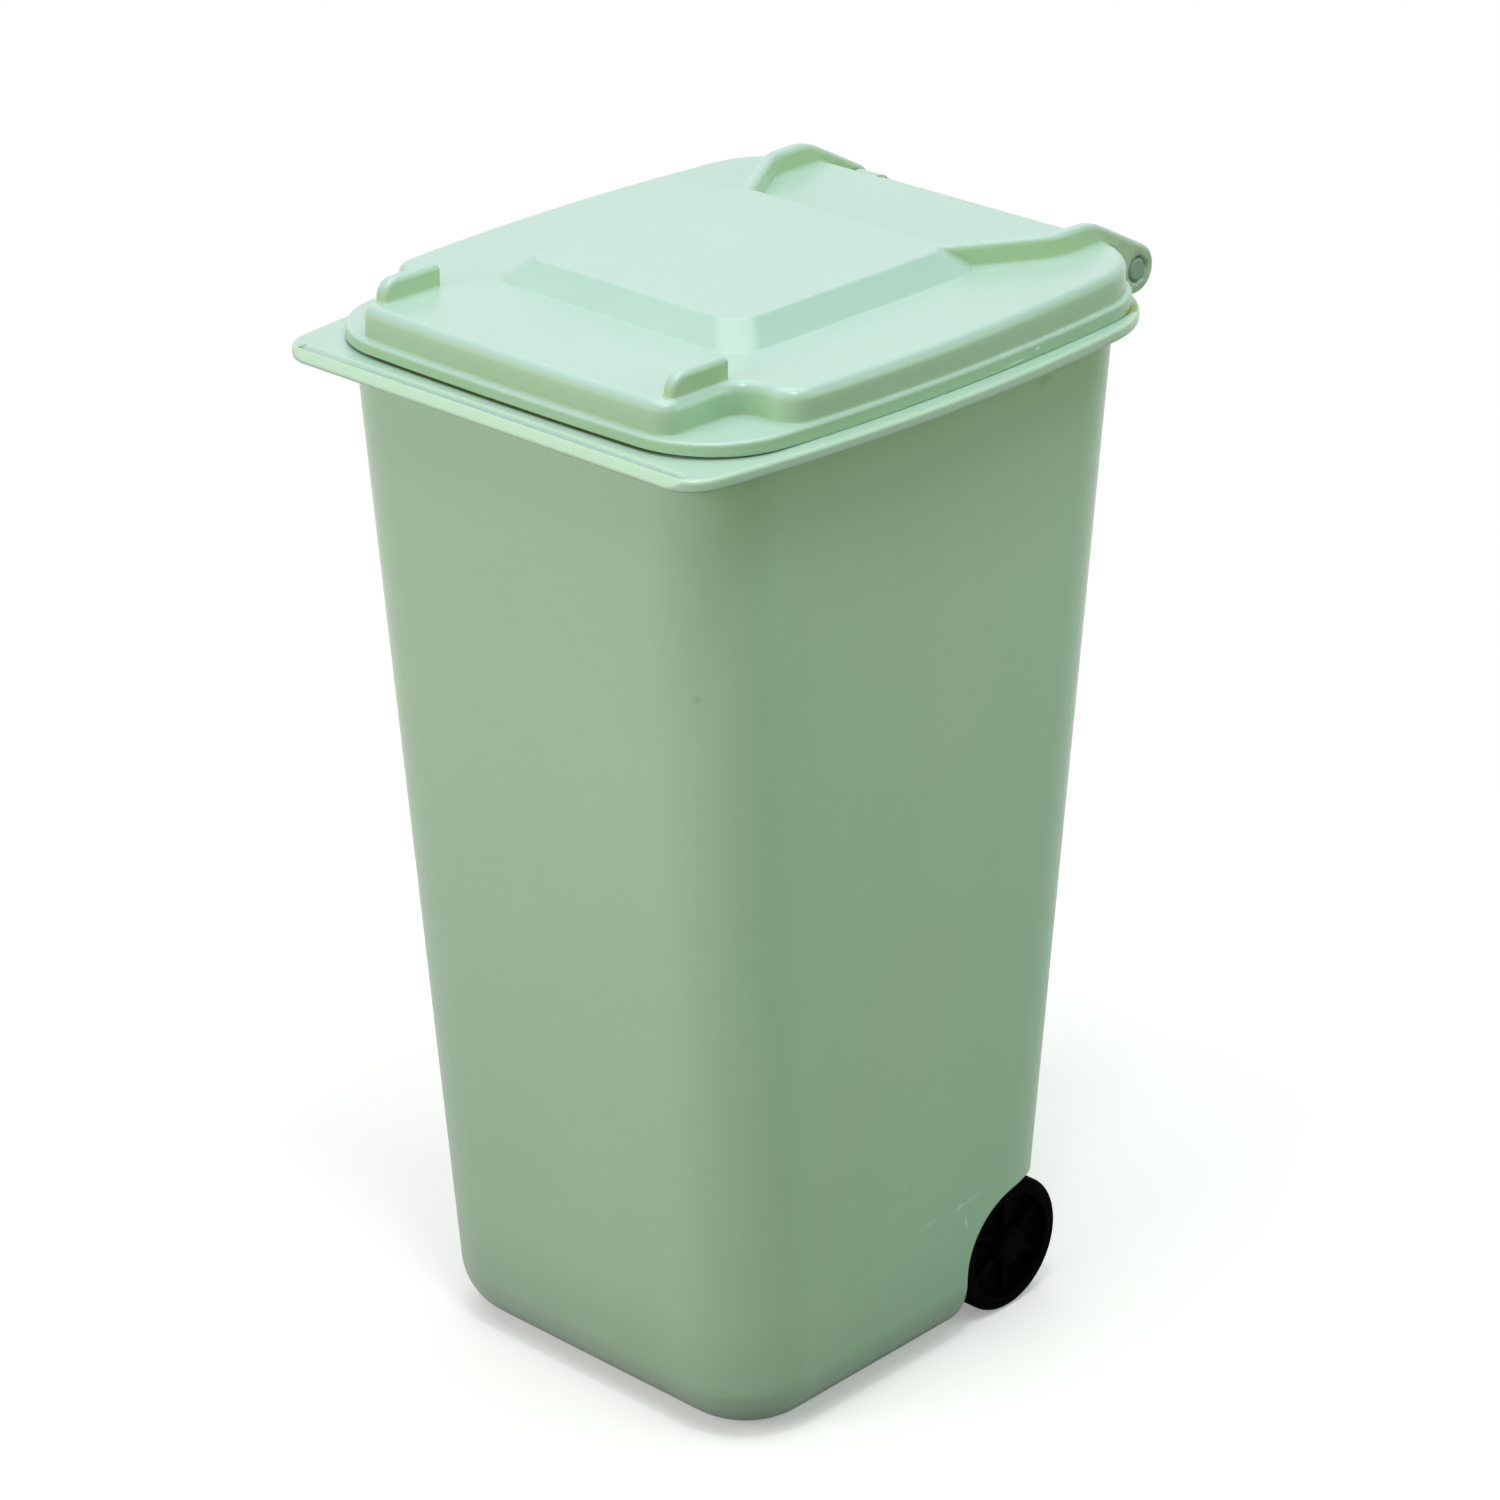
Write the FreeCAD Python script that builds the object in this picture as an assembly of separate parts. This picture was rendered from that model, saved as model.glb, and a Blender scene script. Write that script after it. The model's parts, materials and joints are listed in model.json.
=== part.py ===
import FreeCAD, Part
import math
import os

# A small desktop bin in the shape of a wheelie bin. Millimetres, +Z up, front towards -Y.
# The origin is on the floor, midway between the front and rear walls carried down to it.

V = FreeCAD.Vector

# Tub walls
BASE_WIDTH = 57.4            # across the side walls, carried straight down to the floor
BASE_DEPTH = 58.0            # from front wall to rear wall, carried straight down to the floor
BASE_CORNER = 11.5           # plan radius of the upright corners at the floor
MOUTH_CORNER = 10.2          # plan radius of the upright corners at the rim
SIDE_LEAN = 3.1              # how far each side wall leans out between floor and rim
FRONT_LEAN = 10.4            # the same for the front wall
REAR_LEAN = 8.8              # the same for the rear wall
RIM_HEIGHT = 135.0           # floor to the top of the rim
WALL = 1.6                   # thickness of the moulded walls
FLOOR = 1.8                  # thickness of the tub's floor
BASE_FILLET = 8.3            # round between the walls and the floor, outside

# Rim
RIM_THICKNESS = 1.6
RIM_FRONT_LEDGE = 4.7        # how far the rim stands out past the front wall
RIM_SIDE_LEDGE = 1.7         # the same past the side walls, at the rim's corners
RIM_REAR_LEDGE = 3.1         # the same past the rear wall
RIM_SIDE_BOW = 3.5           # how much further the rim bulges at the middle of each side
RIM_FRONT_CORNER = 4.8       # plan radius of the rim's front corners
RIM_REAR_CORNER = 14.5       # plan radius of the rim's rear corners
RIM_EDGE_ROUND = 0.45
BEVEL_RUN = 0.8              # bevel along the rim's front edge, from front to back
BEVEL_DROP = 1.1             # the same bevel, from top to bottom
GROOVE_WIDTH = 1.5           # shallow hollow behind the bevel
GROOVE_DEPTH = 0.25

# Lid
LID_GAP = 0.05               # between the rim and the lid's brim
BRIM_THICKNESS = 1.85
LIFT_RISE = 0.42             # how much the brim's underside rises to its front edge, for a fingertip
LIFT_REACH = 16.0            # how far behind the front edge that rise begins
BRIM_FRONT_SETBACK = 3.5     # from the rim's front edge back to the brim
BRIM_SIDE_SETBACK = 1.2      # from the rim's sides in to the brim
BRIM_REAR_SETBACK = 0.6      # from the rim's rear edge forward to the brim
BRIM_SIDE_BOW = 2.6          # how much further the brim bulges at the middle of each side
BRIM_FRONT_BOW = 0.8         # how far the brim's front bulges at the middle
BRIM_FRONT_CORNER = 12.2
BRIM_REAR_CORNER = 12.5
BRIM_EDGE_ROUND = 0.4
CROWN_LEDGE = 0.9            # flat step of brim left showing around the raised crown
CROWN_SIDE_BOW = 3.0         # how much further the crown bulges at the middle of each side
CROWN_HEIGHT = 3.9           # the crown's top above the brim
CROWN_EDGE_ROUND = 1.3
NOTCH_WIDTH = 6.2            # finger notch at each front corner, in from the crown's corner
NOSE_LENGTH = 12.8           # how far the notches reach back from the crown's front
NOSE_CORNER = 2.6            # round of the nose's front corners
NOTCH_ROUND = 3.2            # inner round of each notch
SHOULDER_ROUND = 3.6         # outer round where each notch meets the crown's side
LID_WALL = 1.5

# Raised panel on the lid
PANEL_SIDE_MARGIN = 11.0     # from the crown's corners in to the panel's foot
PANEL_FRONT_MARGIN = 17.3    # from the crown's front back to the panel's foot
PANEL_REAR_MARGIN = 18.8     # from the crown's rear forward to the panel's foot
PANEL_HEIGHT = 2.8
PANEL_SLOPE_RUN = 3.0        # plan width of the sloped faces
PANEL_CORNER = 3.6
PANEL_EDGE_ROUND = 0.5

# Grip ribs at the lid's front
RIB_LENGTH = 8.9
RIB_THICKNESS = 1.8
RIB_HEIGHT = 2.7
RIB_NOSE = 2.3               # round of the rib's front end
RIB_EDGE_ROUND = 0.65
RIB_SIDE_INSET = 0.9         # from the nose's side in to the rib
RIB_FRONT_INSET = 2.6        # from the crown's front back to the rib

# Hinge arms and pins
ARM_THICKNESS = 1.8
ARM_ROOT_INSET = 0.4         # outer face in from the panel's top edge, where the arm leaves it
ARM_SETBACK = 9.3            # from the rim's corners in to the arm's outer face at the hinge
ARM_BEND_ROUND = 9.0
ARM_STRAIGHT = 11.4          # straight length of the arm ahead of the rim's rear edge
ARM_KNEE_ROUND = 9.0
ARM_EDGE_ROUND = 0.7
ARM_FALL = 27.5              # degrees, slope of the arm down to its eye
ARM_REAR_GAP = 0.7           # between the arm and the crown's rear wall
EYE_RADIUS = 3.2
EYE_GAP = 0.9                # from the rim's rear edge to the eye
HINGE_RISE = 0.5             # hinge axis above the rim's top
PIN_RADIUS = 1.5
PIN_CHAMFER = 0.3
EYE_CHAMFER = 0.35           # lead-in of the eye's bore, outside
LUG_THICKNESS = 3.6
LUG_RADIUS = 2.7
LUG_DROP = 7.0               # how far the lug's root reaches down the rear wall
LUG_SIDE_GAP = 0.3           # between the arm and the lug
HANDLE_RADIUS = 2.4          # grab bar between the lugs

# Wheels and axle
WHEEL_RADIUS = 9.15
WHEEL_WIDTH = 7.0
WHEEL_OVERHANG = 1.55        # how far the wheels stand out behind the rear wall's foot
WHEEL_RECESS = 1.5           # from the side wall in to the wheel's outer face
WHEEL_EDGE_ROUND = 0.8
WHEEL_DISH_DEPTH = 1.4       # how deep both faces of the wheel are sunk inside the tyre band
WHEEL_TYRE = 2.0             # width of the tyre band around the dish
WHEEL_HUB_RADIUS = 3.0
SPOKE_COUNT = 6
SPOKE_THICKNESS = 1.2
SPOKE_RISE = 0.7             # how far the spokes stand up from the dish
ARCH_CLEARANCE = 0.5         # around the wheel
ARCH_EDGE_ROUND = 0.8
AXLE_RADIUS = 1.5
AXLE_CHAMFER = 0.3
HANGER_THICKNESS = 2.4       # plates under the tub that hold the axle
HANGER_RADIUS = 3.6
WHEEL_SIDE_GAP = 0.3         # beside the wheel, to the hanger and to the cap
CAP_RADIUS = 2.6
CAP_DEPTH = 1.5
CAP_ROUND = 0.6
CAP_SKIN = 0.6               # cap left over the axle's end

# Fits
RUNNING_GAP = 0.05           # radial, where something turns on a pin or axle
PRESS_GAP = 0.01             # radial, where a pin or axle is held fast
OVERCUT = 2.0                # how far cutting shapes reach past what they cut

# Worked out from the sizes above
RIM_FRONT_Y = -(BASE_DEPTH / 2 + FRONT_LEAN + RIM_FRONT_LEDGE)
RIM_REAR_Y = BASE_DEPTH / 2 + REAR_LEAN + RIM_REAR_LEDGE
RIM_CORNER_X = BASE_WIDTH / 2 + SIDE_LEAN + RIM_SIDE_LEDGE
RIM_UNDER_Z = RIM_HEIGHT - RIM_THICKNESS
BRIM_BOTTOM = RIM_HEIGHT + LID_GAP
BRIM_TOP = BRIM_BOTTOM + BRIM_THICKNESS
BRIM_FRONT_Y = RIM_FRONT_Y + BRIM_FRONT_SETBACK
BRIM_REAR_Y = RIM_REAR_Y - BRIM_REAR_SETBACK
BRIM_CORNER_X = RIM_CORNER_X - BRIM_SIDE_SETBACK
CROWN_TOP = BRIM_TOP + CROWN_HEIGHT
CROWN_FRONT_Y = BRIM_FRONT_Y + CROWN_LEDGE
CROWN_REAR_Y = BRIM_REAR_Y - CROWN_LEDGE
CROWN_CORNER_X = BRIM_CORNER_X - CROWN_LEDGE
NOSE_X = CROWN_CORNER_X - NOTCH_WIDTH
PANEL_X = CROWN_CORNER_X - PANEL_SIDE_MARGIN
PANEL_FRONT_Y = CROWN_FRONT_Y + PANEL_FRONT_MARGIN
PANEL_REAR_Y = CROWN_REAR_Y - PANEL_REAR_MARGIN
PANEL_TOP = CROWN_TOP + PANEL_HEIGHT
HINGE_Y = RIM_REAR_Y + EYE_GAP + EYE_RADIUS
HINGE_Z = RIM_HEIGHT + HINGE_RISE
ARM_ROOT_X = PANEL_X - PANEL_SLOPE_RUN - ARM_ROOT_INSET
ARM_OUTER_X = RIM_CORNER_X - ARM_SETBACK
ARM_INNER_X = ARM_OUTER_X - ARM_THICKNESS
LUG_OUTER_X = ARM_INNER_X - LUG_SIDE_GAP
LUG_INNER_X = LUG_OUTER_X - LUG_THICKNESS
AXLE_Z = WHEEL_RADIUS
AXLE_Y = BASE_DEPTH / 2 + WHEEL_OVERHANG - WHEEL_RADIUS
ARCH_RADIUS = WHEEL_RADIUS + ARCH_CLEARANCE
WHEEL_OUTER_X = BASE_WIDTH / 2 + SIDE_LEAN * AXLE_Z / RIM_HEIGHT - WHEEL_RECESS
WHEEL_INNER_X = WHEEL_OUTER_X - WHEEL_WIDTH
HANGER_OUTER_X = WHEEL_INNER_X - WHEEL_SIDE_GAP
CAP_INNER_X = WHEEL_OUTER_X - WHEEL_DISH_DEPTH + WHEEL_SIDE_GAP
CAP_OUTER_X = CAP_INNER_X + CAP_DEPTH
AXLE_END_X = CAP_OUTER_X - CAP_SKIN


def box(low, high):
    """Box between two corners."""
    size = high.sub(low)
    return Part.makeBox(size.x, size.y, size.z, low)


def bar_x(radius, x_from, x_to, y, z):
    """Round bar along X."""
    return Part.makeCylinder(radius, x_to - x_from, V(x_from, y, z), V(1, 0, 0))


def prism_x(wire, x_from, x_to):
    """Closed wire drawn in the plane X = 0, made solid between two places on X."""
    face = Part.Face(wire)
    face.translate(V(x_from, 0, 0))
    return face.extrude(V(x_to - x_from, 0, 0))


def mirrored(shape):
    """The same shape on the other side of the middle."""
    return shape.mirror(V(0, 0, 0), V(1, 0, 0))


def rounded_outline(half_width, front, rear, radius, z):
    """Closed wire: a rectangle with rounded corners, at height z."""
    corners = [
        (half_width - radius, front + radius, -90),
        (half_width - radius, rear - radius, 0),
        (-half_width + radius, rear - radius, 90),
        (-half_width + radius, front + radius, 180),
    ]
    arcs = []
    for x, y, start in corners:
        circle = Part.Circle(V(x, y, z), V(0, 0, 1), radius)
        arcs.append(circle.toShape(math.radians(start), math.radians(start + 90)))
    edges = []
    for index, arc in enumerate(arcs):
        follower = arcs[(index + 1) % len(arcs)]
        edges.append(arc)
        edges.append(Part.makeLine(arc.lastVertex().Point, follower.firstVertex().Point))
    return Part.Wire(Part.__sortEdges__(edges))


def tub_outline(z, inset):
    """Outline of the leaning walls at height z, set in by the given amount."""
    share = z / RIM_HEIGHT
    half_width = BASE_WIDTH / 2 + SIDE_LEAN * share - inset
    front = -(BASE_DEPTH / 2 + FRONT_LEAN * share) + inset
    rear = BASE_DEPTH / 2 + REAR_LEAN * share - inset
    radius = BASE_CORNER + (MOUTH_CORNER - BASE_CORNER) * share - inset
    return rounded_outline(half_width, front, rear, radius, z)


def rounded_tub(bottom, top, inset, fillet):
    """Solid between two heights of the leaning walls, with its bottom edges rounded."""
    solid = Part.makeLoft([tub_outline(bottom, inset), tub_outline(top, inset)], True, True)
    edges = [e for e in solid.Edges if abs(e.BoundBox.ZMax - bottom) < RUNNING_GAP]
    return solid.makeFillet(fillet, edges)


def bowed_plate(corner_x, front, rear, side_bow, front_bow, bottom, top):
    """Plate whose sides, and maybe its front, bulge outwards. Its upright edges are still sharp."""
    middle = (front + rear) / 2
    right_front = V(corner_x, front + front_bow, bottom)
    right_rear = V(corner_x, rear, bottom)
    left_front = V(-corner_x, front + front_bow, bottom)
    left_rear = V(-corner_x, rear, bottom)
    right_side = Part.Arc(right_front, V(corner_x + side_bow, middle, bottom), right_rear).toShape()
    left_side = Part.Arc(left_rear, V(-corner_x - side_bow, middle, bottom), left_front).toShape()
    rear_edge = Part.makeLine(right_rear, left_rear)
    if front_bow > 0:
        front_edge = Part.Arc(left_front, V(0, front, bottom), right_front).toShape()
    else:
        front_edge = Part.makeLine(left_front, right_front)
    wire = Part.Wire([right_side, rear_edge, left_side, front_edge])
    return Part.Face(wire).extrude(V(0, 0, top - bottom))


def upright_edge(solid, x, y):
    """The upright edge that stands nearest to a place in plan."""
    uprights = []
    for edge in solid.Edges:
        extent = edge.BoundBox
        if extent.ZLength > max(extent.XLength, extent.YLength):
            uprights.append(edge)
    return min(uprights, key=lambda e: math.hypot(e.BoundBox.Center.x - x, e.BoundBox.Center.y - y))


def round_uprights(solid, rounds):
    """Rounds upright edges, given as (x, y, radius), in pairs on both sides of the middle."""
    for x, y, radius in rounds:
        for side in (-1, 1):
            solid = solid.makeFillet(radius, [upright_edge(solid, side * x, y)])
    return solid


def rim_edges(solid, z):
    """Edges that lie at height z."""
    return [e for e in solid.Edges if abs(e.BoundBox.ZMin - z) + abs(e.BoundBox.ZMax - z) < PRESS_GAP]


def make_rim():
    """Flat flange around the mouth, before the mouth is cut through it."""
    plate = bowed_plate(RIM_CORNER_X, RIM_FRONT_Y, RIM_REAR_Y, RIM_SIDE_BOW, 0, RIM_UNDER_Z, RIM_HEIGHT)
    plate = round_uprights(plate, [
        (RIM_CORNER_X, RIM_FRONT_Y, RIM_FRONT_CORNER),
        (RIM_CORNER_X, RIM_REAR_Y, RIM_REAR_CORNER),
    ])
    plate = plate.makeFillet(RIM_EDGE_ROUND, rim_edges(plate, RIM_UNDER_Z) + rim_edges(plate, RIM_HEIGHT))
    bevel = Part.makePolygon([
        V(0, RIM_FRONT_Y + 2 * BEVEL_RUN, RIM_HEIGHT + BEVEL_DROP),
        V(0, RIM_FRONT_Y - BEVEL_RUN, RIM_HEIGHT + BEVEL_DROP),
        V(0, RIM_FRONT_Y - BEVEL_RUN, RIM_HEIGHT - 2 * BEVEL_DROP),
        V(0, RIM_FRONT_Y + 2 * BEVEL_RUN, RIM_HEIGHT + BEVEL_DROP),
    ])
    reach = RIM_CORNER_X + RIM_SIDE_BOW
    plate = plate.cut(prism_x(bevel, -reach, reach))
    groove_half = RIM_CORNER_X - RIM_FRONT_CORNER / 2
    groove_y = RIM_FRONT_Y + BEVEL_RUN
    near = V(0, groove_y, RIM_HEIGHT)
    far = V(0, groove_y + GROOVE_WIDTH, RIM_HEIGHT)
    hollow = Part.Arc(near, V(0, groove_y + GROOVE_WIDTH / 2, RIM_HEIGHT - GROOVE_DEPTH), far).toShape()
    above = Part.makePolygon([far, V(0, groove_y + GROOVE_WIDTH / 2, RIM_HEIGHT + GROOVE_DEPTH), near])
    return plate.cut(prism_x(Part.Wire([hollow] + above.Edges), -groove_half, groove_half))


def arch_block(radius, reach):
    """Tunnel across the tub's lower rear: round over the wheels, open below them."""
    front = V(0, AXLE_Y - radius, AXLE_Z)
    rear = V(0, AXLE_Y + radius, AXLE_Z)
    crest = Part.Arc(front, V(0, AXLE_Y, AXLE_Z + radius), rear).toShape()
    below = Part.makePolygon([rear, V(0, rear.y, -OVERCUT), V(0, front.y, -OVERCUT), front])
    return prism_x(Part.Wire([crest] + below.Edges), -reach, reach)


def on_arch(point):
    """Whether a point lies on the tunnel's front or round face."""
    if point.z > AXLE_Z:
        return abs(math.hypot(point.y - AXLE_Y, point.z - AXLE_Z) - ARCH_RADIUS) < PRESS_GAP
    return abs(point.y - AXLE_Y + ARCH_RADIUS) < PRESS_GAP


def soften_arch(solid):
    """Rounds the tunnel's mouth where it breaks through the walls and the floor."""
    mouth = []
    for edge in solid.Edges:
        points = edge.discretize(3)
        seam = all(abs(point.z - AXLE_Z) < PRESS_GAP for point in points)
        if all(on_arch(point) for point in points) and not seam:
            mouth.append(edge)
    return solid.makeFillet(ARCH_EDGE_ROUND, mouth)


def make_lug():
    """Right lug behind the rim: it holds a hinge pin and one end of the grab bar."""
    root_y = BASE_DEPTH / 2 + REAR_LEAN - WALL / 2
    outline = Part.makePolygon([
        V(0, root_y, RIM_UNDER_Z + RIM_EDGE_ROUND),
        V(0, root_y, RIM_UNDER_Z - LUG_DROP),
        V(0, HINGE_Y, HINGE_Z - LUG_RADIUS),
        V(0, HINGE_Y, HINGE_Z),
        V(0, RIM_REAR_Y, RIM_HEIGHT - RIM_EDGE_ROUND),
        V(0, root_y, RIM_HEIGHT - RIM_EDGE_ROUND),
        V(0, root_y, RIM_UNDER_Z + RIM_EDGE_ROUND),
    ])
    web = prism_x(outline, LUG_INNER_X, LUG_OUTER_X)
    boss = bar_x(LUG_RADIUS, LUG_INNER_X, LUG_OUTER_X, HINGE_Y, HINGE_Z)
    return web.fuse(boss)


def make_hanger():
    """Right plate under the arch that carries the axle."""
    plate = box(
        V(HANGER_OUTER_X - HANGER_THICKNESS, AXLE_Y - HANGER_RADIUS, AXLE_Z),
        V(HANGER_OUTER_X, AXLE_Y + HANGER_RADIUS, AXLE_Z + ARCH_RADIUS + WALL / 2),
    )
    foot = bar_x(HANGER_RADIUS, HANGER_OUTER_X - HANGER_THICKNESS, HANGER_OUTER_X, AXLE_Y, AXLE_Z)
    return plate.fuse(foot)


def make_body():
    """Tub, rim, lugs, grab bar and axle hangers in one moulding."""
    reach = BASE_WIDTH / 2 + SIDE_LEAN + OVERCUT
    tub = rounded_tub(0, RIM_UNDER_Z + RIM_THICKNESS / 2, 0, BASE_FILLET)
    tub = tub.cut(arch_block(ARCH_RADIUS, reach))
    right_side = box(V(0, RIM_FRONT_Y, -OVERCUT), V(reach, RIM_REAR_Y, RIM_HEIGHT))
    right_half = soften_arch(tub.common(right_side))
    body = right_half.fuse([mirrored(right_half), make_rim()])
    hollow = rounded_tub(FLOOR, RIM_HEIGHT + OVERCUT, WALL, BASE_FILLET - WALL)
    hollow = hollow.cut(arch_block(ARCH_RADIUS + WALL, reach))
    body = body.cut(hollow)
    lug = make_lug()
    hanger = make_hanger()
    handle = bar_x(HANDLE_RADIUS, -LUG_OUTER_X, LUG_OUTER_X, HINGE_Y, HINGE_Z)
    body = body.fuse([lug, mirrored(lug), handle, hanger, mirrored(hanger)])
    pin_reach = LUG_OUTER_X + OVERCUT
    for side in (-1, 1):
        pin_from = min(side * LUG_INNER_X, side * pin_reach)
        pin_to = max(side * LUG_INNER_X, side * pin_reach)
        body = body.cut(bar_x(PIN_RADIUS + PRESS_GAP, pin_from, pin_to, HINGE_Y, HINGE_Z))
    axle_reach = HANGER_OUTER_X + OVERCUT
    body = body.cut(bar_x(AXLE_RADIUS + PRESS_GAP, -axle_reach, axle_reach, AXLE_Y, AXLE_Z))
    return body.removeSplitter()


def crown_prism(inset, bottom, top):
    """The lid's raised crown, set in all round, with its notched front corners."""
    corner_x = CROWN_CORNER_X - inset
    front = CROWN_FRONT_Y + inset
    rear = CROWN_REAR_Y - inset
    nose_x = NOSE_X - inset
    notch_y = CROWN_FRONT_Y + NOSE_LENGTH + inset
    solid = bowed_plate(corner_x, front, rear, CROWN_SIDE_BOW, BRIM_FRONT_BOW, bottom, top)
    far_x = corner_x + CROWN_SIDE_BOW + OVERCUT
    notch = box(V(nose_x, front - OVERCUT, bottom - OVERCUT), V(far_x, notch_y, top + OVERCUT))
    solid = solid.cut(notch).cut(mirrored(notch))
    return round_uprights(solid, [
        (nose_x, front, NOSE_CORNER - inset),
        (nose_x, notch_y, NOTCH_ROUND + inset),
        (far_x, notch_y, SHOULDER_ROUND - inset),
        (corner_x, rear, BRIM_REAR_CORNER - CROWN_LEDGE - inset),
    ])


def panel_block(inset, bottom, top):
    """The lid's raised panel with its sloped sides, set in all round."""
    outlines = []
    for z, run in ((bottom, inset), (top, inset + PANEL_SLOPE_RUN)):
        front = PANEL_FRONT_Y + run
        rear = PANEL_REAR_Y - run
        outlines.append(rounded_outline(PANEL_X - run, front, rear, PANEL_CORNER, z))
    return Part.makeLoft(outlines, True, True)


def make_rib():
    """Right grip rib, with a rounded front end."""
    outer_x = NOSE_X - RIB_SIDE_INSET
    front = CROWN_FRONT_Y + RIB_FRONT_INSET
    rib = box(
        V(outer_x - RIB_THICKNESS, front, CROWN_TOP - LID_WALL / 2),
        V(outer_x, front + RIB_LENGTH, CROWN_TOP + RIB_HEIGHT),
    )
    nose = [e for e in rib.Edges if e.BoundBox.YMax < front + PRESS_GAP and e.BoundBox.ZMin > CROWN_TOP]
    rib = rib.makeFillet(RIB_NOSE, nose)
    soft = [e for e in rib.Edges if e.BoundBox.ZMin > CROWN_TOP]
    return rib.makeFillet(RIB_EDGE_ROUND, soft)


def arm_plan():
    """Plan of the right arm: it splays out from the panel, bends, then runs straight back."""
    bend_y = RIM_REAR_Y - ARM_STRAIGHT
    root_y = PANEL_REAR_Y - PANEL_SLOPE_RUN
    run = V(ARM_OUTER_X - ARM_ROOT_X, bend_y - root_y, 0)
    along = V(run).normalize()
    inward = V(-along.y, along.x, 0)
    back = along.multiply(ARM_THICKNESS)
    root = V(ARM_ROOT_X, root_y, 0).sub(back)
    bend = V(ARM_OUTER_X, bend_y, 0)
    inner_root = root.add(V(inward).multiply(ARM_THICKNESS))
    share = (ARM_INNER_X - inner_root.x) / run.x
    inner_bend = inner_root.add(V(run).multiply(share))
    far = HINGE_Y + EYE_RADIUS + OVERCUT
    points = [root, bend, V(ARM_OUTER_X, far, 0), V(ARM_INNER_X, far, 0), inner_bend, inner_root, root]
    bottom = HINGE_Z - EYE_RADIUS - OVERCUT
    face = Part.Face(Part.makePolygon(points))
    face.translate(V(0, 0, bottom))
    plan = face.extrude(V(0, 0, PANEL_TOP + OVERCUT - bottom))
    plan = plan.makeFillet(ARM_BEND_ROUND, [upright_edge(plan, bend.x, bend.y)])
    return plan.makeFillet(ARM_BEND_ROUND - ARM_THICKNESS, [upright_edge(plan, inner_bend.x, inner_bend.y)])


def arm_profile():
    """Side view of an arm: level with the panel, then falling to an eye behind the rim."""
    slope = math.radians(ARM_FALL)
    touch_y = HINGE_Y + EYE_RADIUS * math.sin(slope)
    touch_z = HINGE_Z + EYE_RADIUS * math.cos(slope)
    knee_y = touch_y - (PANEL_TOP - touch_z) / math.tan(slope)
    root_y = PANEL_REAR_Y - PANEL_SLOPE_RUN - 2 * ARM_THICKNESS
    edge_y = CROWN_REAR_Y - CROWN_EDGE_ROUND
    neck_y = CROWN_REAR_Y + ARM_REAR_GAP
    neck_z = CROWN_TOP - CROWN_EDGE_ROUND
    neck_reach = math.hypot(neck_y - HINGE_Y, neck_z - HINGE_Z)
    turn = math.atan2(neck_z - HINGE_Z, neck_y - HINGE_Y) + math.acos(EYE_RADIUS / neck_reach)
    outline = Part.makePolygon([
        V(0, root_y, CROWN_TOP - LID_WALL / 2),
        V(0, edge_y, CROWN_TOP - LID_WALL / 2),
        V(0, edge_y, CROWN_TOP),
        V(0, neck_y, neck_z),
        V(0, HINGE_Y + EYE_RADIUS * math.cos(turn), HINGE_Z + EYE_RADIUS * math.sin(turn)),
        V(0, HINGE_Y, HINGE_Z),
        V(0, touch_y, touch_z),
        V(0, knee_y, PANEL_TOP),
        V(0, root_y, PANEL_TOP),
        V(0, root_y, CROWN_TOP - LID_WALL / 2),
    ])
    plate = prism_x(outline, 0, ARM_OUTER_X + OVERCUT)
    knee = [
        e for e in plate.Edges
        if e.BoundBox.YLength < PRESS_GAP and abs(e.BoundBox.YMin - knee_y) < PRESS_GAP
    ]
    plate = plate.makeFillet(ARM_KNEE_ROUND, knee)
    eye = bar_x(EYE_RADIUS, 0, ARM_OUTER_X + OVERCUT, HINGE_Y, HINGE_Z)
    return plate.fuse(eye).removeSplitter()


def make_arm():
    """Right hinge arm with its eye."""
    arm = arm_plan().common(arm_profile())
    soft = []
    for edge in arm.Edges:
        extent = edge.BoundBox
        along = extent.YLength > ARM_THICKNESS
        if along and extent.ZMax > CROWN_TOP and extent.Center.z > HINGE_Z + EYE_RADIUS / 2:
            soft.append(edge)
    arm = arm.makeFillet(ARM_EDGE_ROUND, soft)
    bore = bar_x(PIN_RADIUS + RUNNING_GAP, ARM_INNER_X - OVERCUT, ARM_OUTER_X + OVERCUT, HINGE_Y, HINGE_Z)
    lead_in = Part.makeCone(
        PIN_RADIUS + RUNNING_GAP, PIN_RADIUS + RUNNING_GAP + EYE_CHAMFER, EYE_CHAMFER,
        V(ARM_OUTER_X - EYE_CHAMFER, HINGE_Y, HINGE_Z), V(1, 0, 0),
    )
    return arm.cut(bore).cut(lead_in)


def lift_wedge():
    """What is taken from under the brim's front so that a fingertip finds the edge."""
    far_y = BRIM_FRONT_Y - OVERCUT
    near_y = BRIM_FRONT_Y + LIFT_REACH
    outline = Part.makePolygon([
        V(0, near_y, BRIM_BOTTOM),
        V(0, far_y, BRIM_BOTTOM + LIFT_RISE * (near_y - far_y) / LIFT_REACH),
        V(0, far_y, BRIM_BOTTOM - OVERCUT),
        V(0, near_y, BRIM_BOTTOM - OVERCUT),
        V(0, near_y, BRIM_BOTTOM),
    ])
    reach = BRIM_CORNER_X + BRIM_SIDE_BOW + OVERCUT
    return prism_x(outline, -reach, reach)


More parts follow.
